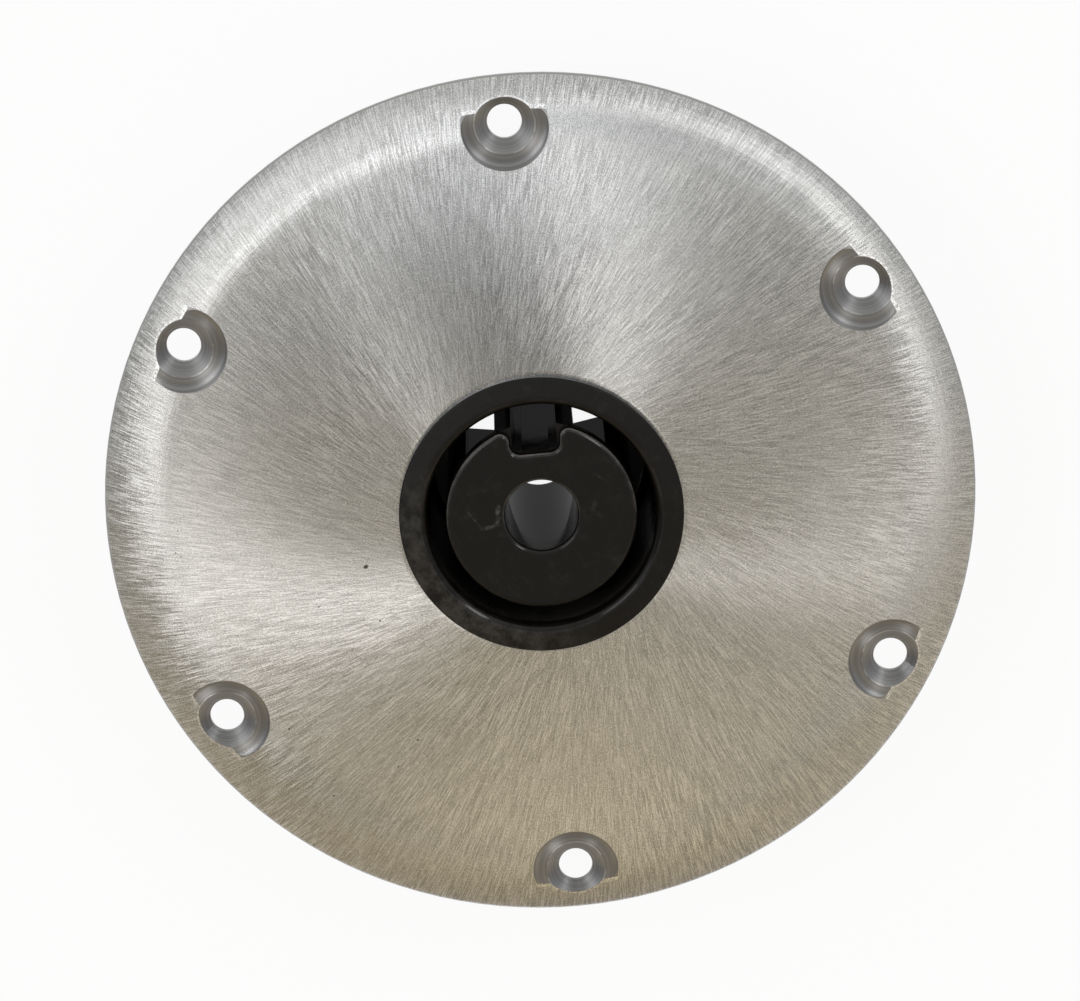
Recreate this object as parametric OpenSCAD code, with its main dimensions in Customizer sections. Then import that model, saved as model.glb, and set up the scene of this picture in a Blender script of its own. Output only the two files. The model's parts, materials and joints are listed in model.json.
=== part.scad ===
// Round floor base for a boat seat pedestal: a domed aluminium plate with a cast socket,
// lined by a black moulded bushing that takes the post, its key and a centre pin.
// Origin on the axis at the deck plane, +Z up out of the socket, +Y towards the key slot.

/* [Plate] */
// Diameter of the plate
plate_d = 228.6; // [210:0.1:260]
// Height of the seat land around the socket above the deck
plate_h = 12.6; // [11.5:0.1:15]
// Radius of the domed crown
crown_r = 750; // [600:5:1200]
// Width of the shoulder, from the crown's edge to the rim
shoulder_w = 16.3; // [14:0.1:22]
// Height of the rim's sharp corner above the deck
rim_h = 1.6; // [1.2:0.1:2.4]
// Rounding of the rim's upper edge
rim_r = 1.2; // [0.4:0.1:1.4]
// Rounding of the rim's lower edge
rim_foot_r = 0.3; // [0.1:0.1:0.5]
// Thickness of the cast dome
plate_wall = 4; // [3.2:0.1:4.8]
// Width of the flat ring that bears on the deck
deck_ring = 10; // [6:0.5:12]
// Width of the slope from that ring up to the dome's underside
ring_slope_w = 3.5; // [2.5:0.1:6]
// Rounding at the top of that slope
ring_slope_r = 3; // [1:0.1:4]
// Rounding where the dome's underside meets the socket
socket_fillet = 4; // [1:0.1:6]
// Thickness of the stiffening ribs under the dome
rib_t = 3; // [2:0.1:5]
// Height of the ribs' lower edges above the deck
rib_lift = 1.5; // [0.5:0.1:3]

/* [Screw holes] */
// Number of deck screws
screw_count = 6; // [3:1:8]
// Distance from the rim to the screw holes' centres
screw_inset = 12.2; // [10:0.1:16]
// Diameter of a screw hole
screw_hole_d = 9; // [6:0.1:10]
// Thickness of the straight land at the bottom of a screw hole
screw_land = 1.4; // [0.6:0.1:2.5]
// Diameter of the countersink where it meets the spot face
sink_d = 15.7; // [12:0.1:17]
// Height of the spot face above the deck
face_h = 5.4; // [4:0.1:5.8]
// Diameter of the spot face
face_d = 22.3; // [19:0.1:25]
// Rounding where the spot face meets its wall
face_r = 1.5; // [0.3:0.1:2]
// Outward lean of the spot face's wall, in degrees
face_draft = 10; // [0:0.5:14]
// Width of metal around a spot face under the dome
boss_margin = 1.6; // [1:0.1:3]

/* [Socket] */
// Thickness of the cast socket's wall
socket_wall = 4.4; // [3.6:0.1:6]
// Depth of the cast socket below the deck
socket_drop = 38; // [30:0.5:40]
// Rounding of the socket's lower outer edge
socket_foot_r = 0.8; // [0.3:0.1:1.5]
// Clearance between the socket and the bushing, on the radius
socket_gap = 0.15; // [0.05:0.05:0.4]
// Width of the key that stops the bushing from turning
turn_key_w = 6; // [4:0.5:10]
// Height of that key above the sleeve
turn_key_h = 1.4; // [0.8:0.1:2]

/* [Bushing] */
// Inner diameter of the sleeve, which takes the post
post_d = 60; // [56:0.1:64]
// Thickness of the sleeve
sleeve_wall = 2.5; // [1.8:0.1:3.5]
// Width that the flange stands out over the plate
flange_lip = 4.6; // [3:0.1:7]
// Thickness of the flange at its edge
flange_t = 2.05; // [1.5:0.05:3]
// Slope of the flange's top, in degrees
flange_slope = 15; // [0:1:18]
// Rounding of the flange's outer edge
flange_r = 0.6; // [0.2:0.1:1]
// Rounding of the lip that leads into the sleeve
lip_r = 2; // [0.5:0.1:2.4]
// Depth of the bushing from the hub's top to its lower end
bushing_depth = 62; // [57:0.5:66]
// Rounding of the sleeve's lower outer edge
sleeve_foot_r = 0.8; // [0.3:0.1:1.5]
// Thickness of the ring that joins the hub to the sleeve
floor_t = 3; // [2:0.1:4]
// Rounding where that ring meets the sleeve
floor_r = 1.5; // [0.5:0.1:2.5]
// Height of the retaining barbs above the sleeve
barb_h = 1.2; // [0.6:0.1:1.6]
// Length of a barb along the sleeve
barb_len = 4; // [2.5:0.1:5]
// Length of the straight part at a barb's upper end
barb_land = 0.8; // [0.4:0.1:1.5]
// Angle that a barb spans, in degrees
barb_span = 18; // [8:1:24]
// Number of retaining barbs
barb_count = 4; // [3:1:6]

/* [Hub] */
// Diameter of the hub's top
hub_d = 50; // [46:0.1:52]
// Height of the hub's top above the deck
hub_h = 15.2; // [13:0.1:17]
// Thickness of the hub's top
hub_top_t = 4; // [3:0.1:6]
// Rounding of the hub's top edge
hub_r = 1.5; // [0.5:0.1:1.9]
// Inset of the hub's skirt below its top edge
skirt_inset = 0.4; // [0.2:0.1:0.8]
// Thickness of the hub's skirt
skirt_wall = 2.5; // [1.8:0.1:3.5]
// Diameter of the bore for the centre pin
pin_d = 19.05; // [16:0.05:22]
// Rounding of the pin bore's mouth
pin_r = 1.2; // [0.4:0.1:1.6]
// Thickness of the tube around the pin bore
tube_wall = 3; // [2:0.1:4]
// Thickness of the webs inside the hub
web_t = 2.2; // [1.6:0.1:3]

/* [Key slot] */
// Width of the key slot
key_w = 12.8; // [10:0.1:15]
// Distance from the axis to the slot's inner end
key_y = 17; // [16:0.1:19]
// Rounding of the slot's inner corners
key_corner_r = 2.6; // [1:0.1:3.5]
// Rounding of the horns beside the slot's mouth, in plan
horn_r = 2.6; // [2.1:0.1:3]
// Width of the key channel below the hub's top
channel_w = 11.8; // [9:0.1:13]
// Distance from the axis to the channel's back wall
back_y = 16.2; // [15.4:0.1:16.8]
// Thickness of the walls beside the key channel
key_wall = 4.3; // [2:0.1:5]
// Width of the open well beyond each channel wall
well_w = 8; // [5:0.1:9]
// Distance from the X axis to the wells' back wall beside the channel
well_y = 6.9; // [5:0.1:8]
// How much further out that back wall stands at the wells' outer side
well_rise = 1.3; // [0:0.1:2.5]
// Width of the two rails on the channel's back wall
rail_w = 2.4; // [1.5:0.1:3]
// Height of the rails above the back wall
rail_h = 1.2; // [0.5:0.1:2]

/* [Hidden] */
$fn = 96;
past = 1;

plate_r = plate_d / 2;
shoulder_x = plate_r - shoulder_w;
screw_x = plate_r - screw_inset;
land_lip = 1;
sleeve_ri = post_d / 2;
sleeve_ro = sleeve_ri + sleeve_wall;
flange_ro = sleeve_ro + flange_lip;
socket_ri = sleeve_ro + socket_gap;
socket_ro = socket_ri + socket_wall;
land_r = flange_ro + land_lip;
pin_rad = pin_d / 2;
tube_ro = pin_rad + tube_wall;
hub_rad = hub_d / 2;
skirt_ro = hub_rad - skirt_inset;
skirt_ri = skirt_ro - skirt_wall;
bushing_z = hub_h - bushing_depth;
floor_z = bushing_z + floor_t;
hub_under = hub_h - hub_top_t;
window_lip = 1;
window_r = sleeve_ri - window_lip;
channel_x = channel_w / 2;
wall_x = channel_x + key_wall;
well_x = wall_x + well_w;
well_out_y = well_y + well_rise * (hub_rad - wall_x) / well_w;
walls_h = hub_under + hub_top_t / 3 - bushing_z;
horn_x = key_w / 2 + horn_r;
horn_y = sqrt(pow(hub_rad - horn_r, 2) - pow(horn_x, 2));
horn_lean = atan2(horn_x, horn_y);
edge_share = 0.8;
edge_w = hub_r + edge_share * (horn_r - hub_r);

// The plate's section: a crown about one centre, then one bend from it to the rim's corner
crown_c = [0, plate_h - sqrt(pow(crown_r, 2) - pow(land_r, 2))];
land_lean = asin(land_r / crown_r);
crown_lean = asin(shoulder_x / crown_r);
crown_way = [sin(crown_lean), cos(crown_lean)];
bend_from = crown_c + crown_r * crown_way;
bend_span = bend_from - [plate_r, rim_h];
bend_r = bend_span * bend_span / (2 * crown_way * bend_span);
bend_c = bend_from - bend_r * crown_way;
rim_lean = asin((plate_r - bend_c.x) / bend_r);

// Height of that section above the deck, at a distance from the axis
function crown_z(r) = crown_c.y + sqrt(pow(crown_r, 2) - pow(r, 2));
function bend_z(r) = bend_c.y + sqrt(pow(bend_r, 2) - pow(r - bend_c.x, 2));
function top_z(r) = r < shoulder_x ? crown_z(r) : bend_z(r);

// Points of an outline whose corners are given as [x, y, radius], each rounded by an arc. An arc
// is cut into steps of 1.6 mm, but of 18 degrees at most and no finer than a quarter degree
arc_step = 1.6;
arc_turn = 18;
arc_fine = 0.25;
function unit(v) = v / norm(v);
function arc_points(c, r, a, sweep) =
    let (
        long = abs(sweep) * r * PI / 180,
        steps = max(ceil(abs(sweep) / arc_turn), min(ceil(long / arc_step), ceil(abs(sweep) / arc_fine)))
    )
    [for (i = [0:steps]) c + r * [cos(a + sweep * i / steps), sin(a + sweep * i / steps)]];
function corner_points(before, at, after, r) =
    r == 0 ? [at] :
    let (
        u = unit(before - at),
        v = unit(after - at),
        half = acos(u * v) / 2,
        c = at + unit(u + v) * r / sin(half),
        from = at + u * r / tan(half) - c,
        turn = cross(at - before, after - at) > 0 ? 1 : -1
    )
    arc_points(c, r, atan2(from.y, from.x), turn * (180 - 2 * half));
function rounded(corners) =
    let (n = len(corners), at = [for (c = corners) [c[0], c[1]]])
    [for (i = [0:n - 1]) each corner_points(at[(i + n - 1) % n], at[i], at[(i + 1) % n], corners[i][2])];

module ring(corners) {
    rotate_extrude() polygon(rounded(corners));
}

module around(count, start = 0) {
    for (i = [0:count - 1]) rotate(start + 360 * i / count) children();
}

// The solid space under the plate's outer surface, down to the deck
module plate_space() {
    bend = arc_points(bend_c, bend_r, 90 - rim_lean, rim_lean - crown_lean);
    crown = arc_points(crown_c, crown_r, 90 - crown_lean, crown_lean - land_lean);
    ring(concat([[0, 0, 0], [plate_r, 0, rim_foot_r], [plate_r, rim_h, rim_r]],
        [for (i = [1:len(bend) - 1]) [bend[i].x, bend[i].y, 0]],
        [for (i = [1:len(crown) - 1]) [crown[i].x, crown[i].y, 0]],
        [[0, plate_h, 0]]));
}

// The hollow under the dome, a plain cone, so the wall is a little thicker midway
module plate_hollow() {
    foot = plate_r - deck_ring;
    top = foot - ring_slope_w;
    ring([[0, -past, 0], [foot, -past, 0], [foot, 0, 0], [top, top_z(top) - plate_wall, ring_slope_r],
        [socket_ro, crown_z(socket_ro) - plate_wall, socket_fillet], [socket_ro, -past, 0]]);
}

module plate_stiffeners() {
    intersection() {
        plate_space();
        union() {
            around(screw_count, 90)
                translate([screw_x, 0, 0]) cylinder(r = face_d / 2 + boss_margin, h = plate_h);
            around(2 * screw_count, 90)
                translate([socket_ro - past, -rib_t / 2, rib_lift])
                cube([plate_r - deck_ring / 2 - socket_ro + past, rib_t, plate_h]);
        }
    }
}

module screw_cut() {
    wall_top = plate_h + past;
    lean = (wall_top - face_h) * tan(face_draft);
    ring([[0, -past, 0], [screw_hole_d / 2, -past, 0], [screw_hole_d / 2, screw_land, 0],
        [sink_d / 2, face_h, 0], [face_d / 2, face_h, face_r], [face_d / 2 + lean, wall_top, 0],
        [0, wall_top, 0]]);
}

module socket() {
    top = plate_h - plate_wall / 2;
    ring([[0, -socket_drop, 0], [socket_ro, -socket_drop, socket_foot_r], [socket_ro, top, 0], [0, top, 0]]);
}

// The bushing's turn key, or the keyway that takes it when grown by a clearance
module turn_key(gap, z0, z1) {
    translate([-turn_key_w / 2 - gap, sleeve_ro - past, z0])
        cube([turn_key_w + 2 * gap, turn_key_h + past + gap, z1 - z0]);
}

module base_plate() {
    color([0.72, 0.71, 0.69]) difference() {
        union() {
            difference() {
                plate_space();
                plate_hollow();
            }
            plate_stiffeners();
            socket();
        }
        around(screw_count, 90) translate([screw_x, 0, 0]) screw_cut();
        translate([0, 0, -socket_drop - past]) cylinder(r = socket_ri, h = socket_drop + plate_h + 2 * past);
        turn_key(socket_gap, -socket_drop - past, plate_h + past);
    }
}

// The revolved part of the bushing: flange, lip, sleeve and the ring at its lower end
module sleeve() {
    lip_z = plate_h + flange_t + (flange_ro - sleeve_ri) * tan(flange_slope);
    ring([[skirt_ri, bushing_z, 0], [sleeve_ro, bushing_z, sleeve_foot_r], [sleeve_ro, plate_h, 0],
        [flange_ro, plate_h, 0], [flange_ro, plate_h + flange_t, flange_r], [sleeve_ri, lip_z, lip_r],
        [sleeve_ri, floor_z, floor_r], [skirt_ri, floor_z, 0]]);
}

module barbs() {
    z = -socket_drop - socket_gap;
    for (i = [0:barb_count - 1])
        rotate_extrude(angle = barb_span, start = (360 * (i + 0.5) / barb_count) - barb_span / 2)
        polygon([[sleeve_ro - past, z], [sleeve_ro + barb_h, z], [sleeve_ro + barb_h, z - barb_land],
            [sleeve_ro, z - barb_len], [sleeve_ro - past, z - barb_len]]);
}

// Section of the hub's edge, with its top corner rounded: the face is at a distance from
// the section's origin, and the metal lies on the side that way points to, -1 or 1
module edge_section(face, way) {
    bottom = hub_under;
    back = face + way * edge_w;
    polygon(rounded([[face, bottom, 0], [face, hub_h, hub_r], [back, hub_h, 0], [back, bottom, 0]]));
}

// A bend of that edge: a part turn about a centre, from one angle through a sweep
module edge_bend(centre, r, way, from, sweep) {
    translate(centre) rotate_extrude(angle = sweep, start = from) edge_section(r, way);
}

// The hub's top: a disc cut by the key slot, with one rounded edge all along its outline
module hub_top() {
    inset = hub_r + (horn_r - hub_r) / 2;
    slot_x = key_w / 2 + inset;
    translate([0, 0, hub_under]) linear_extrude(hub_top_t) difference() {
        circle(r = hub_rad - inset);
        polygon(rounded([[-slot_x, key_y - inset, key_corner_r + inset],
            [slot_x, key_y - inset, key_corner_r + inset], [slot_x, hub_rad, 0], [-slot_x, hub_rad, 0]]));
    }
    edge_bend([0, 0, 0], hub_rad, -1, 90 + horn_lean, 360 - 2 * horn_lean);
    for (side = [0, 1]) mirror([side, 0, 0]) {
        edge_bend([horn_x, horn_y, 0], horn_r, -1, 90 - horn_lean, 90 + horn_lean);
        edge_bend([key_w / 2 - key_corner_r, key_y + key_corner_r, 0], key_corner_r, 1, -90, 90);
        translate([0, horn_y, 0]) rotate([90, 0, 0])
            linear_extrude(horn_y - key_y - key_corner_r) edge_section(key_w / 2, 1);
    }
    span = key_w / 2 - key_corner_r;
    translate([-span, 0, 0]) rotate([90, 0, 90]) linear_extrude(2 * span) edge_section(key_y, -1);
}

// Plan of the walls beside the key channel, with its back wall and rails, on one side
module channel_walls() {
    translate([channel_x, 0]) square([key_wall, hub_rad]);
    square([channel_x, back_y]);
    translate([channel_x - rail_w, 0]) square([rail_w, back_y + rail_h]);
}

// Plan of a well's back wall and outer wall, on one side
module well_walls() {
    polygon([[0, well_y - web_t], [wall_x, well_y - web_t], [hub_rad, well_out_y - web_t],
        [hub_rad, well_out_y], [wall_x, well_y], [0, well_y]]);
    translate([well_x, well_y - web_t]) square([web_t, hub_rad]);
}

module hub_walls() {
    translate([0, 0, bushing_z]) linear_extrude(walls_h) {
        difference() {
            circle(r = skirt_ro);
            circle(r = skirt_ri);
        }
        circle(r = tube_ro);
        intersection() {
            circle(r = skirt_ro);
            union() {
                for (side = [0, 1]) mirror([side, 0, 0]) {
                    channel_walls();
                    well_walls();
                }
                for (a = [210, 270, 330]) rotate(a) translate([0, -web_t / 2]) square([hub_rad, web_t]);
            }
        }
    }
}

// The open key channel and the two wells beside it, cut through the hub's walls and the ring
module hub_openings() {
    translate([0, 0, bushing_z - past]) linear_extrude(walls_h + 2 * past) intersection() {
        circle(r = window_r);
        for (side = [0, 1]) mirror([side, 0, 0]) {
            translate([-past, back_y]) square([channel_x - rail_w + past, sleeve_ri]);
            translate([0, back_y + rail_h]) square([channel_x, sleeve_ri]);
            polygon([[wall_x, well_y], [well_x, well_y + well_rise],
                [well_x, sleeve_ri], [wall_x, sleeve_ri]]);
        }
    }
}

module pin_cut() {
    mouth = pin_rad + 2 * pin_r;
    ring([[0, bushing_z - past, 0], [pin_rad, bushing_z - past, 0], [pin_rad, hub_h, pin_r],
        [mouth, hub_h, 0], [mouth, hub_h + past, 0], [0, hub_h + past, 0]]);
}

module bushing() {
    color([0.13, 0.12, 0.115]) difference() {
        union() {
            difference() {
                union() {
                    sleeve();
                    hub_walls();
                }
                hub_openings();
            }
            hub_top();
            barbs();
            turn_key(0, -socket_drop, plate_h - past);
        }
        pin_cut();
    }
}

base_plate();
bushing();
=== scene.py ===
"""Looks of the boat seat floor base: brushed aluminium plate and scuffed black bushing, on a pale floor."""
import json
import math

import bpy
from mathutils import Matrix, Vector


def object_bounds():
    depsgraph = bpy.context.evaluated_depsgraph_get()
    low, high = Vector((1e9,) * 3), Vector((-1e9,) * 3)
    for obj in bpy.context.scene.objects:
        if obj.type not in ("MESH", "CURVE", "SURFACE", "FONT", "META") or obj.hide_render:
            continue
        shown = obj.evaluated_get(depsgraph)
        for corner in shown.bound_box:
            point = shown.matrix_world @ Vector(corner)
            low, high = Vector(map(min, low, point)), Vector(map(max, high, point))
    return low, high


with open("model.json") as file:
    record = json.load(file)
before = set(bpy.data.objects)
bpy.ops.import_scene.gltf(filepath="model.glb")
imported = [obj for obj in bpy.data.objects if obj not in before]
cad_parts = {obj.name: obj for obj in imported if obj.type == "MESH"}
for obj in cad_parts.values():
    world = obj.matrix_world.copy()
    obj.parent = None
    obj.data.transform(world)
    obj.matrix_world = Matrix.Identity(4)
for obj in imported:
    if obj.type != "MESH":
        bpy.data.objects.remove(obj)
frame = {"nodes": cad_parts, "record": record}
cad_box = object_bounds()

MM = 0.001

# Camera: the point it looks at, its distance, and its turn, tilt and roll in degrees from straight down
CAMERA_AIM = (-0.22 * MM, -0.24 * MM, 0.0)
CAMERA_DISTANCE = 1249.9 * MM
CAMERA_TURN, CAMERA_TILT, CAMERA_ROLL = -2.375, -16.49, -3.015
SENSOR_MM = 36.0
LENS_MM = 158.52

# Plate: its radius and rim, and the screw holes' circle, from the frame
mounts = {mount["name"]: mount["dims"] for mount in frame["record"]["mounts"]}
PLATE_R = cad_box[1].x
RIM_WIDTH = 2 * MM
HOLE_CIRCLE_R = mounts["deck_screws"]["pcd_mm"] / 2 * MM
HOLE_STEP = 2 * math.pi / mounts["deck_screws"]["count"]

# Recesses: the spot face's height and radius, its wall's draft, and the countersink's radius and slope there
FACE_Z = 5.4 * MM
FACE_R = 11.15 * MM
FACE_DRAFT = math.tan(math.radians(10))
SINK_R = 7.85 * MM
SINK_SLOPE = 0.8375

# Bushing: the height above which its tops lie, the hub's radius and edge, the sleeve's wall and its lip,
# which get painted light
TOPS_Z = 10 * MM
HUB_R = 25 * MM
HUB_EDGE_Z = 12 * MM
SLEEVE_R = 29.4 * MM
# Painted light: the heights over which the sleeve's inner wall is painted lighter
SLEEVE_PAINTED_LIGHT_Z = (-25 * MM, 2 * MM)
# Painted highlight: the radius of the bright broken line round the lip
LIP_HIGHLIGHT_R = 31.5 * MM
FLANGE_RUBBED_R = (29 * MM, 31 * MM)

# Brushed metal
METAL_DARK = (0.34, 0.335, 0.325, 1)
METAL_MEAN = (0.52, 0.515, 0.505, 1)
METAL_BRIGHT = (0.78, 0.775, 0.765, 1)
# Painted shade: the dark line along the plate's steep rim
RIM_SHADE_COLOUR = (0.34, 0.335, 0.33, 1)
SPECK_COLOUR = (0.05, 0.045, 0.035, 1)
# Roughness in its lines, and what the bend adds between two radii
ROUGH_LOW, ROUGH_HIGH, ROUGH_BEND = 0.31, 0.37, 0.07
ROUGH_CHANGE = (88 * MM, 98 * MM)
SPREAD = 0.95
# How far single lines stray from the brushing's direction, on the crown and on the bend
TWIST_FLAT, TWIST_BEND = 0.5, 2.2
TWIST_CHANGE = (95 * MM, 102 * MM)
# Lines pass the axis at these distances; their number is per radian near the hub and near the rim,
# with a change between two radii, and per metre along their length
LINES_PASS = (21 * MM, 10 * MM)
LINES_NEAR, LINES_FAR, LINES_ALONG = 200.0, 360.0, 130.0
LINES_CHANGE = (55 * MM, 85 * MM)
# Offsets that keep the noise of one set of lines apart from the next
SET_APART, FAR_APART = 31.7, 7.3

# Turned recesses, torn burrs, a painted highlight round each countersink, and cast sides
CUT_DARK = (0.26, 0.256, 0.256, 1)
CUT_BRIGHT = (0.35, 0.345, 0.345, 1)
CUT_ROUGH = 0.42
# The burrs' colour, also used for the painted highlight round each countersink
BURR_AND_HIGHLIGHT = (0.84, 0.83, 0.82, 1)
BURR_WIDTH = 0.9 * MM
CAST_DARK = (0.38, 0.38, 0.38, 1)
CAST_BRIGHT = (0.50, 0.50, 0.49, 1)
CAST_ROUGH = 0.5

# Black plastic: glossy on walls and edges and rougher on its tops, with the rubbed side's direction in plan
PLASTIC = (0.0048, 0.0041, 0.0035, 1)
# Also the colour of the painted light on the sleeve's wall and the painted highlight round its lip
PLASTIC_WORN_AND_LIT = (0.034, 0.031, 0.028, 1)
# The marks' pale colour, also used for the painted highlight on the hub's edge
PLASTIC_MARK_AND_HIGHLIGHT = (0.10, 0.095, 0.09, 1)
PLASTIC_IOR, PLASTIC_SPECULAR = 1.45, 0.22
GLOSS_LOW, GLOSS_HIGH, TOPS_ROUGHER = 0.07, 0.15, 0.46
WORN_SIDE = (-0.766, -0.643)
# How strong scuffs and hairlines are, and how much of the wear the walls take
SCUFF_SHARE, HAIR_SHARE, WALL_SHARE = 0.3, 0.14, 0.3

# Noise scales, in ripples per metre
CLOUD, SPARKLE, SAND, TORN, SINK_HIGHLIGHT_BREAKS = 45.0, 3600.0, 900.0, 1700.0, 260.0
RINGS_OUT, RINGS_DOWN = 3200.0, 900.0
SCUFF, MOULDED, LIP_HIGHLIGHT_PATCHES, MARK_BREAKS = 190.0, 700.0, 70.0, 1100.0
HAIR_ALONG, HAIR_ACROSS = 160.0, 1900.0
BRUSHED_DEPTH, MOULDED_DEPTH = 0.03 * MM, 0.02 * MM

# Specks on the plate: x, y, length and width in mm, turn in degrees, softness
SPECKS = (
    (-47.0, -10.3, 1.3, 1.0, 30, 0.4),
    (-44.8, -25.5, 0.6, 0.4, 0, 0.5),
    (-60.4, -20.4, 0.6, 0.35, 40, 0.5),
    (-72.0, -54.2, 0.7, 0.35, 70, 0.5),
    (-62.2, -74.4, 0.5, 0.4, 0, 0.5),
    (-38.3, -59.9, 0.6, 0.4, 0, 0.5),
    (-44.3, -67.2, 0.5, 0.35, 0, 0.5),
    (-95.1, 2.8, 0.5, 0.3, 20, 0.5),
    (-96.4, -3.2, 0.6, 0.3, 60, 0.5),
    (-95.1, -4.3, 0.5, 0.3, 110, 0.5),
    (-99.0, -26.1, 0.4, 0.3, 0, 0.5),
)
# Pale marks on the bushing: the same, then how strong each is
SCRATCHES = (
    (-11.2, 2.5, 2.4, 1.1, 75, 0.7, 0.7),
    (-11.4, -0.2, 2.2, 0.9, 60, 0.8, 0.45),
    (-13.6, -1.7, 4.4, 0.9, 10, 0.8, 0.4),
    (-17.6, 0.8, 4.6, 0.5, -55, 0.8, 0.3),
    (13.8, 1.4, 2.6, 1.2, 70, 0.9, 0.15),
    (15.8, 9.2, 3.6, 0.5, -40, 0.8, 0.15),
)

# Floor: it is white to the camera, and in mirrored rays it lies in shade under the part and below the bore
FLOOR_HALF = 6.0
FLOOR_COLOUR = (0.8, 0.8, 0.8, 1)
FLOOR_WHITE = 0.92
SHADE_R, SHADE = 80 * MM, 0.1
BORE_R, BORE_SHADE = 11 * MM, 0.23

# Sky: a grey by the direction's X, from -1 to 1, and a colour by its Y, which are added. It has a dark gap in
# the middle, a warm glow low in front and a wide white screen behind
SKY_X = ((-0.9, 0.18), (-0.6, 0.21), (0.0, 0.12), (0.3, 0.21), (0.6, 0.35), (0.9, 0.24))
SKY_Y = (
    (-1.0, (0.16, 0.09, 0.0)),
    (-0.8, (0.46, 0.36, 0.18)),
    (-0.6, (0.68, 0.56, 0.34)),
    (-0.2, (0.16, 0.14, 0.11)),
    (0.0, (0.18, 0.20, 0.22)),
    (0.2, (0.27, 0.31, 0.35)),
    (0.6, (0.70, 0.71, 0.70)),
    (1.0, (0.75, 0.76, 0.73)),
)

# Lamps: name, X and Y of the direction, size and watts
LAMP_FAR = 2.2
LAMP_COLOUR = (1.0, 1.0, 1.0)
SMALL, MIDDLE, LARGE = 0.28, 0.45, 0.80
LAMPS = (
    ("lamp_left_a", (-0.37, 0.19), SMALL, 2.3),
    ("lamp_left_b", (-0.45, 0.12), SMALL, 2.25),
    ("lamp_left_c", (-0.315, 0.02), SMALL, 0.8),
    ("lamp_right_a", (0.31, 0.22), SMALL, 0.45),
    ("lamp_right_b", (0.39, 0.13), SMALL, 0.7),
    ("box_right", (0.52, 0.38), MIDDLE, 4.5),
    ("box_right_low", (0.66, -0.12), LARGE, 0.7),
    ("box_left", (-0.52, 0.38), LARGE, 4.4),
    ("box_left_low", (-0.62, 0.12), LARGE, 2.2),
)

# A Mix node's sockets for each kind of value: two inputs and the output
MIX_SOCKETS = {"FLOAT": (2, 3, 0), "VECTOR": (4, 5, 1), "RGBA": (6, 7, 2)}


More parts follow.
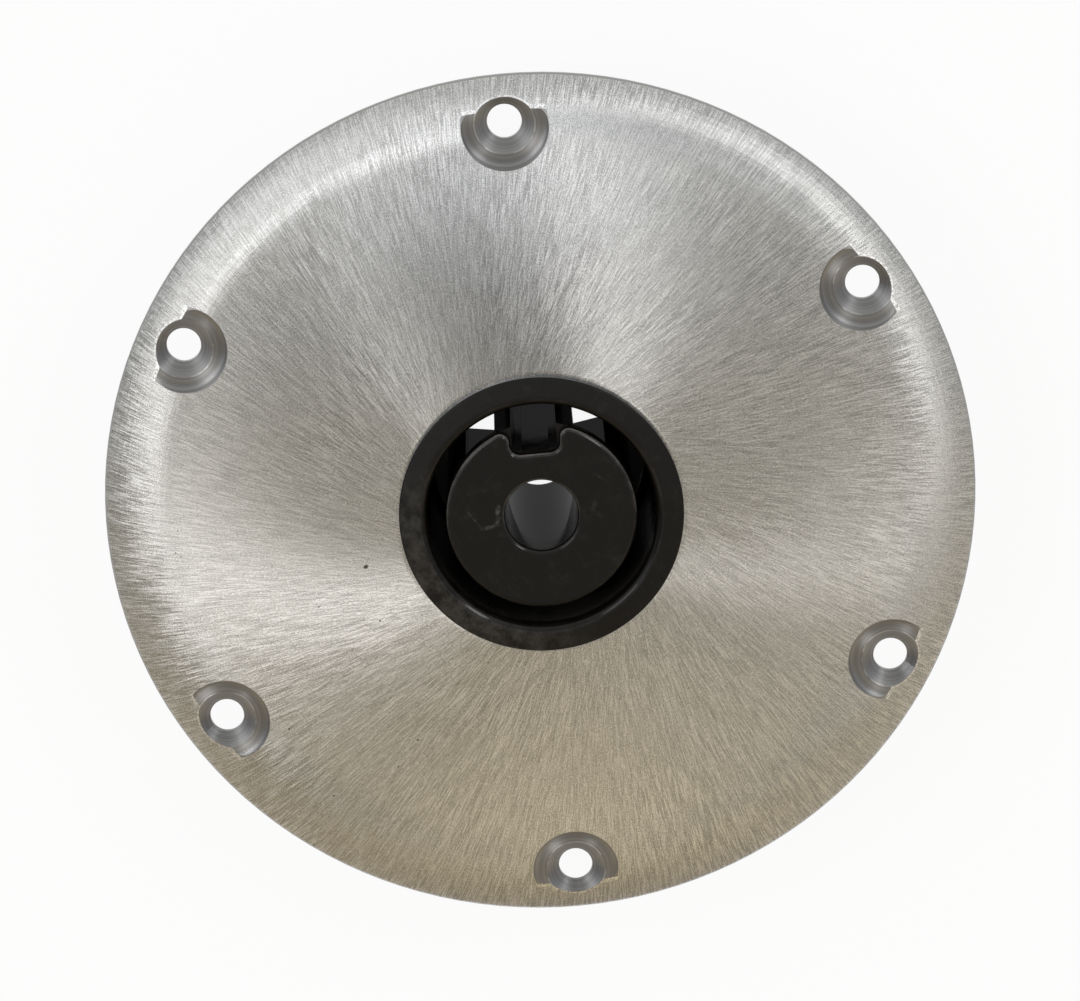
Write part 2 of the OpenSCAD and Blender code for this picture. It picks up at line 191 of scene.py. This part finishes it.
class Tree:
    """A small helper that adds shader nodes and links them as they are made."""

    def __init__(self, name):
        self.material = bpy.data.materials.new(name)
        self.material.use_nodes = True
        self.nodes = self.material.node_tree.nodes
        self.links = self.material.node_tree.links
        self.nodes.clear()
        geometry = self.add("ShaderNodeNewGeometry").outputs
        self.position = geometry["Position"]
        self.normal = geometry["Normal"]
        self.backfacing = geometry["Backfacing"]

    def add(self, kind, **settings):
        node = self.nodes.new(kind)
        for key, value in settings.items():
            setattr(node, key, value)
        return node

    def put(self, socket, value):
        if isinstance(value, bpy.types.NodeSocket):
            self.links.new(value, socket)
        else:
            socket.default_value = value

    def math(self, operation, a, b=0.0, c=0.0):
        node = self.add("ShaderNodeMath", operation=operation)
        for socket, value in zip(node.inputs, (a, b, c)):
            self.put(socket, value)
        return node.outputs[0]

    def plus(self, a, b):
        return self.math("ADD", a, b)

    def minus(self, a, b):
        return self.math("SUBTRACT", a, b)

    def times(self, product, *others):
        for other in others:
            product = self.math("MULTIPLY", product, other)
        return product

    def highest(self, top, *others):
        for other in others:
            top = self.math("MAXIMUM", top, other)
        return top

    def above(self, value, limit):
        return self.math("GREATER_THAN", value, limit)

    def below(self, value, limit):
        return self.math("LESS_THAN", value, limit)

    def apart(self, a, b):
        return self.math("ABSOLUTE", self.minus(a, b))

    def length(self, x, y):
        return self.math("SQRT", self.math("MULTIPLY_ADD", x, x, self.times(y, y)))

    def split(self, vector):
        node = self.add("ShaderNodeSeparateXYZ")
        self.put(node.inputs[0], vector)
        return node.outputs

    def join(self, x, y, z):
        node = self.add("ShaderNodeCombineXYZ")
        for socket, value in zip(node.inputs, (x, y, z)):
            self.put(socket, value)
        return node.outputs[0]

    def turn(self, x, y, degrees):
        """x and y along two directions that are turned from the axes."""
        c, s = math.cos(math.radians(degrees)), math.sin(math.radians(degrees))
        along = self.math("MULTIPLY_ADD", x, c, self.times(y, s))
        across = self.math("MULTIPLY_ADD", x, -s, self.times(y, c))
        return along, across

    def ramp(self, value, low, high, out_low=0.0, out_high=1.0, smooth=True):
        """Value from low to high becomes out_low to out_high, held at both ends."""
        kind = "SMOOTHSTEP" if smooth else "LINEAR"
        node = self.add("ShaderNodeMapRange", interpolation_type=kind, clamp=True)
        for socket, given in zip(node.inputs, (value, low, high, out_low, out_high)):
            self.put(socket, given)
        return node.outputs["Result"]

    def fall(self, value, low, high):
        """1 up to low and 0 from high on."""
        return self.ramp(value, low, high, 1.0, 0.0)

    def noise(self, vector, scale, detail=2.0, roughness=0.5):
        node = self.add("ShaderNodeTexNoise", noise_dimensions="3D")
        self.put(node.inputs["Vector"], vector)
        node.inputs["Scale"].default_value = scale
        node.inputs["Detail"].default_value = detail
        node.inputs["Roughness"].default_value = roughness
        return node.outputs["Fac"]

    def mix(self, share, a, b, kind="RGBA"):
        """a where share is 0 and b where it is 1."""
        node = self.add("ShaderNodeMix", data_type=kind)
        first, second, result = MIX_SOCKETS[kind]
        self.put(node.inputs[0], share)
        self.put(node.inputs[first], a)
        self.put(node.inputs[second], b)
        return node.outputs[result]

    def bump(self, height, distance, strength):
        node = self.add("ShaderNodeBump")
        node.inputs["Strength"].default_value = strength
        node.inputs["Distance"].default_value = distance
        self.put(node.inputs["Height"], height)
        return node.outputs["Normal"]

    def shader(self, **inputs):
        node = self.add("ShaderNodeBsdfPrincipled")
        for key, value in inputs.items():
            self.put(node.inputs[key.replace("_", " ")], value)
        self.show(node)

    def mix_shaders(self, share, a, b):
        node = self.add("ShaderNodeMixShader")
        self.put(node.inputs["Fac"], share)
        self.put(node.inputs[1], a.outputs[0])
        self.put(node.inputs[2], b.outputs[0])
        return node

    def show(self, node):
        out = self.add("ShaderNodeOutputMaterial")
        self.put(out.inputs["Surface"], node.outputs[0])


def polar(t):
    """Distance from the axis, the angle's cosine and sine, and the height."""
    x, y, z = t.split(t.position)
    r = t.length(x, y)
    safe = t.math("MAXIMUM", r, 1e-4)
    return r, t.math("DIVIDE", x, safe), t.math("DIVIDE", y, safe), z


def mark(t, x, y, length, width, turn=0.0, soft=0.5, share=1.0):
    """Up to its share inside a small oval in plan, for one speck or scratch, in mm and degrees."""
    px, py, pz = t.split(t.position)
    u, v = t.turn(t.minus(px, x * MM), t.minus(py, y * MM), turn)
    u = t.math("DIVIDE", u, length / 2 * MM)
    v = t.math("DIVIDE", v, width / 2 * MM)
    return t.ramp(t.length(u, v), 1 - soft, 1 + soft, share, 0.0)


def streaks(t, passing, across, offset):
    """Straight fine lines that pass the axis at a distance; across is how many there are per radian."""
    r, cosine, sine, z = polar(t)
    lean = t.math("DIVIDE", passing, t.math("MAXIMUM", r, passing * 1.2))
    c = t.math("SQRT", t.minus(1.0, t.times(lean, lean)))
    x = t.plus(t.times(cosine, c), t.times(sine, lean))
    y = t.minus(t.times(sine, c), t.times(cosine, lean))
    reach = t.plus(t.times(t.minus(r, z), LINES_ALONG), offset)
    return t.noise(t.join(t.times(x, across), t.times(y, across), reach), 1.0, detail=1.0, roughness=0.6)


def grain(t):
    """Brushed lines in two directions, finer per turn towards the rim so that they keep their width."""
    r, cosine, sine, z = polar(t)
    outer = t.ramp(r, *LINES_CHANGE)
    sets = []
    for k, passing in enumerate(LINES_PASS):
        near = streaks(t, passing, LINES_NEAR, k * SET_APART)
        far = streaks(t, passing, LINES_FAR, k * SET_APART + FAR_APART)
        sets.append(t.mix(outer, near, far, "FLOAT"))
    return t.times(t.plus(*sets), 0.5)


def nearest_hole(t):
    """Offset in plan from the nearest screw hole's centre, its length, and the height over the spot face."""
    x, y, z = t.split(t.position)
    angle = t.plus(t.math("SNAP", t.math("ARCTAN2", y, x), HOLE_STEP), HOLE_STEP / 2)
    dx = t.minus(x, t.times(t.math("COSINE", angle), HOLE_CIRCLE_R))
    dy = t.minus(y, t.times(t.math("SINE", angle), HOLE_CIRCLE_R))
    return dx, dy, t.length(dx, dy), t.minus(z, FACE_Z)


def inside_sink(t, d, height):
    """How far a point lies inside the countersink's cone."""
    return t.minus(t.math("MULTIPLY_ADD", height, SINK_SLOPE, SINK_R), d)


def machined(t):
    """1 on the spot faces and countersinks, 0 on the brushed top."""
    dx, dy, d, height = nearest_hole(t)
    wall = t.minus(t.math("MULTIPLY_ADD", height, FACE_DRAFT, FACE_R), d)
    face = t.times(t.above(height, -0.03 * MM), t.ramp(wall, -0.2 * MM, -0.05 * MM))
    sink = t.ramp(inside_sink(t, d, height), -0.2 * MM, -0.05 * MM)
    return t.highest(face, sink)


def burrs(t, cut):
    """1 on the torn edge that the cutter left where a recess runs out into the bend."""
    dx, dy, d, height = nearest_hole(t)
    round_sink = t.ramp(inside_sink(t, d, height), -BURR_WIDTH, -0.5 * MM)
    at_tips = t.times(t.ramp(height, -0.5 * MM, -0.25 * MM), t.below(d, FACE_R + 0.4 * MM))
    torn = t.ramp(t.noise(t.position, TORN), 0.44, 0.54)
    return t.times(t.highest(round_sink, at_tips), t.below(height, 0.0), torn, t.minus(1.0, cut))


def cast_sides(t, cut):
    """1 on the hidden sides, left as they were cast: under the plate and all round the socket."""
    r, cosine, sine, z = polar(t)
    up = t.split(t.normal)[2]
    steep = t.times(t.fall(up, 0.1, 0.3), t.below(r, PLATE_R - RIM_WIDTH))
    cast = t.highest(steep, t.fall(up, -0.2, 0.1), t.fall(z, -1 * MM, 0.0))
    return t.times(cast, t.minus(1.0, cut))


def rim(t):
    """1 on the steep part of the plate's rounded rim, which gets a dark line of painted shade."""
    r, cosine, sine, z = polar(t)
    up = t.split(t.normal)[2]
    return t.times(t.fall(up, 0.6, 0.8), t.above(r, PLATE_R - RIM_WIDTH))


def brushed_colour(t, lines):
    """Bright and dark lines, with faint clouds, a fine sparkle and a few dark specks."""
    cloud = t.noise(t.position, CLOUD, detail=3.0)
    sparkle = t.noise(t.position, SPARKLE, detail=1.0)
    colour = t.mix(t.ramp(lines, 0.43, 0.60, smooth=False), METAL_DARK, METAL_BRIGHT)
    colour = t.mix(t.ramp(cloud, 0.3, 0.75, 0.0, 0.4), colour, METAL_MEAN)
    colour = t.mix(t.ramp(sparkle, 0.52, 0.68, 0.0, 0.8, smooth=False), colour, METAL_BRIGHT)
    colour = t.mix(t.ramp(sparkle, 0.32, 0.48, 0.8, 0.0, smooth=False), colour, METAL_DARK)
    specks = t.highest(*[mark(t, *speck) for speck in SPECKS])
    return t.mix(specks, colour, SPECK_COLOUR)


def recess_colour(t):
    """Turned rings, and a broken painted highlight where the countersink meets the spot face."""
    dx, dy, d, height = nearest_hole(t)
    z = t.split(t.position)[2]
    rings = t.noise(t.join(t.times(d, RINGS_OUT), 0.0, t.times(z, RINGS_DOWN)), 1.0, detail=1.0)
    colour = t.mix(t.ramp(rings, 0.3, 0.7), CUT_DARK, CUT_BRIGHT)
    # Painted highlight: a bright broken ring at the countersink's edge, in the burrs' colour
    line = t.ramp(t.apart(d, SINK_R), 0.1 * MM, 0.3 * MM, 0.4, 0.0)
    return t.mix(t.times(line, t.ramp(t.noise(t.position, SINK_HIGHLIGHT_BREAKS), 0.4, 0.6)), colour, BURR_AND_HIGHLIGHT)


def metal_roughness(t, lines, cut, cast):
    """Smoother in some lines than in others, a little rougher on the bend, and dull where cut or cast."""
    r, cosine, sine, z = polar(t)
    rough = t.ramp(lines, 0.35, 0.65, ROUGH_LOW, ROUGH_HIGH)
    rough = t.plus(rough, t.ramp(r, *ROUGH_CHANGE, 0.0, ROUGH_BEND))
    rough = t.mix(cut, rough, CUT_ROUGH, "FLOAT")
    return t.mix(cast, rough, CAST_ROUGH, "FLOAT")


def spread_direction(t, lines, cut):
    """Which way highlights spread: round the axis where it is brushed, and outwards in the recesses."""
    r, cosine, sine, z = polar(t)
    dx, dy, d, height = nearest_hole(t)
    stray = t.times(t.minus(lines, 0.5), t.ramp(r, *TWIST_CHANGE, TWIST_FLAT, TWIST_BEND))
    x = t.minus(t.times(stray, cosine), sine)
    y = t.math("MULTIPLY_ADD", stray, sine, cosine)
    return t.mix(cut, t.join(x, y, 0.0), t.join(dx, dy, 0.0), "VECTOR")


def brushed_aluminium():
    """The plate: brushed on top, turned in its recesses and left as cast on its hidden sides."""
    t = Tree("brushed_aluminium")
    lines = grain(t)
    cut = machined(t)
    cast = cast_sides(t, cut)
    sand = t.noise(t.position, SAND, detail=3.0)
    colour = t.mix(cut, brushed_colour(t, lines), recess_colour(t))
    colour = t.mix(burrs(t, cut), colour, BURR_AND_HIGHLIGHT)
    # Painted shade: a dark line on the plate's steep rim
    colour = t.mix(rim(t), colour, RIM_SHADE_COLOUR)
    colour = t.mix(cast, colour, t.mix(t.ramp(sand, 0.3, 0.7), CAST_DARK, CAST_BRIGHT))
    rough = metal_roughness(t, lines, cut, cast)
    way = spread_direction(t, lines, cut)
    height = t.mix(t.highest(cut, cast), lines, t.times(sand, cast), "FLOAT")
    normal = t.bump(height, BRUSHED_DEPTH, 0.5)
    looks = {"Base_Color": colour, "Roughness": rough, "Tangent": way, "Normal": normal}
    t.shader(Metallic=1.0, Anisotropic=SPREAD, **looks)
    return t.material


def hairlines(t, degrees, offset):
    """Sparse thin scratches that all run one way, turned in plan."""
    x, y, z = t.split(t.position)
    u, v = t.turn(x, y, degrees)
    found = t.noise(t.join(t.times(u, HAIR_ALONG), t.times(v, HAIR_ACROSS), offset), 1.0, detail=1.0)
    return t.ramp(found, 0.64, 0.74)


def bushing_tops(t):
    """1 on the tops of the flange and the hub."""
    z = t.split(t.position)[2]
    up = t.split(t.normal)[2]
    return t.times(t.above(z, TOPS_Z), t.ramp(up, 0.88, 0.95))


def scuffed(t, scuff, tops):
    """How far the black has gone grey: rubbed on one side of the flange, scuffs and hairlines elsewhere."""
    r, cosine, sine, z = polar(t)
    side = t.math("MULTIPLY_ADD", cosine, WORN_SIDE[0], t.times(sine, WORN_SIDE[1]))
    rubbed = t.times(t.ramp(side, 0.2, 0.95), t.ramp(r, *FLANGE_RUBBED_R), t.ramp(scuff, 0.36, 0.62))
    worn = t.plus(rubbed, t.ramp(scuff, 0.52, 0.74, 0.0, SCUFF_SHARE))
    lines = t.highest(hairlines(t, 35.0, 0.0), hairlines(t, -70.0, 5.0))
    worn = t.plus(worn, t.times(lines, HAIR_SHARE))
    return t.times(t.math("MINIMUM", worn, 1.0), t.highest(tops, WALL_SHARE))


def painted_sleeve_light(t, scuff):
    """Painted light: grey on the sleeve's inner wall, fading deeper down, and a broken painted highlight
    round its lip.
    """
    r, cosine, sine, z = polar(t)
    wall = t.times(t.ramp(r, SLEEVE_R, SLEEVE_R + 0.4 * MM), t.fall(r, LIP_HIGHLIGHT_R, LIP_HIGHLIGHT_R + 0.5 * MM))
    wall = t.times(wall, t.ramp(z, *SLEEVE_PAINTED_LIGHT_Z), t.fall(z, TOPS_Z + 0.5 * MM, TOPS_Z + 2 * MM))
    # Painted highlight: a broken bright line round the lip
    lip = t.ramp(t.apart(r, LIP_HIGHLIGHT_R), 0.1 * MM, 0.35 * MM, 0.5, 0.0)
    lip = t.times(lip, t.ramp(t.noise(t.position, LIP_HIGHLIGHT_PATCHES), 0.48, 0.6), t.above(z, TOPS_Z))
    return t.times(t.highest(wall, lip), t.ramp(scuff, 0.3, 0.6, 0.3, 0.9))


def hub_edge_highlight(t, scuff):
    """Painted highlight on the hub's rounded edge, stronger towards the key slot."""
    r, cosine, sine, z = polar(t)
    up = t.split(t.normal)[2]
    edge = t.times(t.ramp(z, HUB_EDGE_Z, HUB_EDGE_Z + 1 * MM), t.fall(r, HUB_R, HUB_R + 1 * MM))
    edge = t.times(edge, t.ramp(up, 0.5, 0.6), t.fall(up, 0.82, 0.93))
    return t.times(edge, t.ramp(sine, -0.4, 0.5, 0.15, 0.95), t.ramp(scuff, 0.35, 0.6, 0.3, 1.0))


def black_plastic():
    """The bushing: black, glossy on walls and edges, and scuffed on its tops."""
    t = Tree("black_plastic")
    scuff = t.noise(t.position, SCUFF, detail=6.0, roughness=0.75)
    tops = bushing_tops(t)
    broken = t.ramp(t.noise(t.position, MARK_BREAKS), 0.38, 0.6, 0.25, 1.0)
    scratches = t.times(t.highest(*[mark(t, *scratch) for scratch in SCRATCHES]), tops, broken)
    # worn also holds the painted light on the sleeve's wall and the painted highlight round its lip
    worn = t.highest(scuffed(t, scuff, tops), painted_sleeve_light(t, scuff))
    colour = t.mix(worn, PLASTIC, PLASTIC_WORN_AND_LIT)
    # The hub's edge gets a painted highlight in the marks' pale colour
    colour = t.mix(t.highest(scratches, hub_edge_highlight(t, scuff)), colour, PLASTIC_MARK_AND_HIGHLIGHT)
    rough = t.plus(t.ramp(scuff, 0.3, 0.7, GLOSS_LOW, GLOSS_HIGH), t.times(tops, TOPS_ROUGHER))
    normal = t.bump(t.noise(t.position, MOULDED, detail=3.0), MOULDED_DEPTH, 0.3)
    looks = {"Base_Color": colour, "Roughness": rough, "Normal": normal}
    t.shader(IOR=PLASTIC_IOR, Specular_IOR_Level=PLASTIC_SPECULAR, **looks)
    return t.material


def dress(node, material):
    """Gives a CAD node its material."""
    piece = frame["nodes"][node]
    piece.data.materials.clear()
    piece.data.materials.append(material)


def add_object(name, data):
    """A new object that holds the given mesh, lamp or camera."""
    added = bpy.data.objects.new(name, data)
    bpy.context.scene.collection.objects.link(added)
    return added


def add_camera():
    """The photograph's camera: a long lens that looks down on the part from the key slot's side."""
    data = bpy.data.cameras.new("camera")
    data.sensor_width = SENSOR_MM
    data.lens = LENS_MM
    data.clip_start, data.clip_end = 0.05, 20.0
    camera = add_object("camera", data)
    place = Matrix.Translation(CAMERA_AIM)
    for degrees, axis in ((CAMERA_TURN, "Z"), (CAMERA_TILT, "X"), (CAMERA_ROLL, "Z")):
        place = place @ Matrix.Rotation(math.radians(degrees), 4, axis)
    camera.matrix_world = place @ Matrix.Translation((0.0, 0.0, CAMERA_DISTANCE))
    bpy.context.scene.camera = camera


def floor_material():
    """White to the camera and in reflections but for a trace of the shadow, and clear from below."""
    t = Tree("floor")
    path = t.add("ShaderNodeLightPath").outputs
    r, cosine, sine, z = polar(t)
    lit = t.ramp(r, SHADE_R, PLATE_R, SHADE, 1.0)
    lit = t.highest(lit, t.ramp(r, BORE_R, BORE_R * 1.3, BORE_SHADE, 0.0))
    mirrored = t.times(path["Is Glossy Ray"], lit)
    seen = t.highest(path["Is Camera Ray"], mirrored, path["Is Transmission Ray"])
    plain = t.add("ShaderNodeBsdfDiffuse")
    plain.inputs["Color"].default_value = FLOOR_COLOUR
    top = t.mix_shaders(t.times(seen, FLOOR_WHITE), plain, t.add("ShaderNodeEmission"))
    t.show(t.mix_shaders(t.backfacing, top, t.add("ShaderNodeBsdfTransparent")))
    return t.material


def add_floor():
    """A plain floor at the part's lowest point, which isn't part of the object."""
    low = cad_box[0].z
    corners = [(x * FLOOR_HALF, y * FLOOR_HALF, low) for x, y in ((-1, -1), (1, -1), (1, 1), (-1, 1))]
    mesh = bpy.data.meshes.new("floor")
    mesh.from_pydata(corners, [], [(0, 1, 2, 3)])
    mesh.materials.append(floor_material())
    add_object("floor", mesh)


def add_lamp(name, way, size, watts):
    """A white round lamp in a direction from the part, given by its X and Y, and facing the part."""
    data = bpy.data.lights.new(name, "AREA")
    data.shape = "ELLIPSE"
    data.size, data.size_y = size, size
    data.energy = watts
    data.color = LAMP_COLOUR
    lamp = add_object(name, data)
    x, y = way
    towards = Vector((x, y, math.sqrt(1 - x * x - y * y)))
    lamp.location = towards * LAMP_FAR
    lamp.rotation_mode = "QUATERNION"
    lamp.rotation_quaternion = towards.to_track_quat("Z", "Y")


def sky_ramp(nodes, links, value, stops):
    """A colour ramp over one part of the direction, from -1 to 1."""
    place = nodes.new("ShaderNodeMapRange")
    place.inputs["From Min"].default_value = -1.0
    links.new(value, place.inputs["Value"])
    ramp = nodes.new("ShaderNodeValToRGB")
    points = ramp.color_ramp.elements
    points.remove(points[1])
    for k, (at, colour) in enumerate(stops):
        point = points[0] if k == 0 else points.new((at + 1) / 2)
        point.position = (at + 1) / 2
        point.color = (*colour, 1)
    links.new(place.outputs["Result"], ramp.inputs["Fac"])
    return ramp.outputs["Color"]


def add_sky():
    """Soft light from all round that changes over the sky, and white where the camera sees it."""
    world = bpy.data.worlds.new("world")
    bpy.context.scene.world = world
    world.use_nodes = True
    nodes, links = world.node_tree.nodes, world.node_tree.links
    nodes.clear()
    way = nodes.new("ShaderNodeSeparateXYZ")
    links.new(nodes.new("ShaderNodeTexCoord").outputs["Generated"], way.inputs[0])
    total = nodes.new("ShaderNodeVectorMath")
    greys = [(at, (grey, grey, grey)) for at, grey in SKY_X]
    links.new(sky_ramp(nodes, links, way.outputs["X"], greys), total.inputs[0])
    links.new(sky_ramp(nodes, links, way.outputs["Y"], SKY_Y), total.inputs[1])
    light = nodes.new("ShaderNodeBackground")
    links.new(total.outputs[0], light.inputs["Color"])
    white = nodes.new("ShaderNodeBackground")
    white.inputs["Color"].default_value = (1, 1, 1, 1)
    path = nodes.new("ShaderNodeLightPath").outputs
    seen = nodes.new("ShaderNodeMath")
    seen.operation = "MAXIMUM"
    links.new(path["Is Camera Ray"], seen.inputs[0])
    links.new(path["Is Transmission Ray"], seen.inputs[1])
    mixed = nodes.new("ShaderNodeMixShader")
    links.new(seen.outputs[0], mixed.inputs["Fac"])
    links.new(light.outputs[0], mixed.inputs[1])
    links.new(white.outputs[0], mixed.inputs[2])
    out = nodes.new("ShaderNodeOutputWorld")
    links.new(mixed.outputs[0], out.inputs["Surface"])


add_camera()
dress("base_plate", brushed_aluminium())
dress("bushing", black_plastic())
add_floor()
add_sky()
for lamp in LAMPS:
    add_lamp(*lamp)
bpy.context.scene.view_settings.view_transform = "Standard"
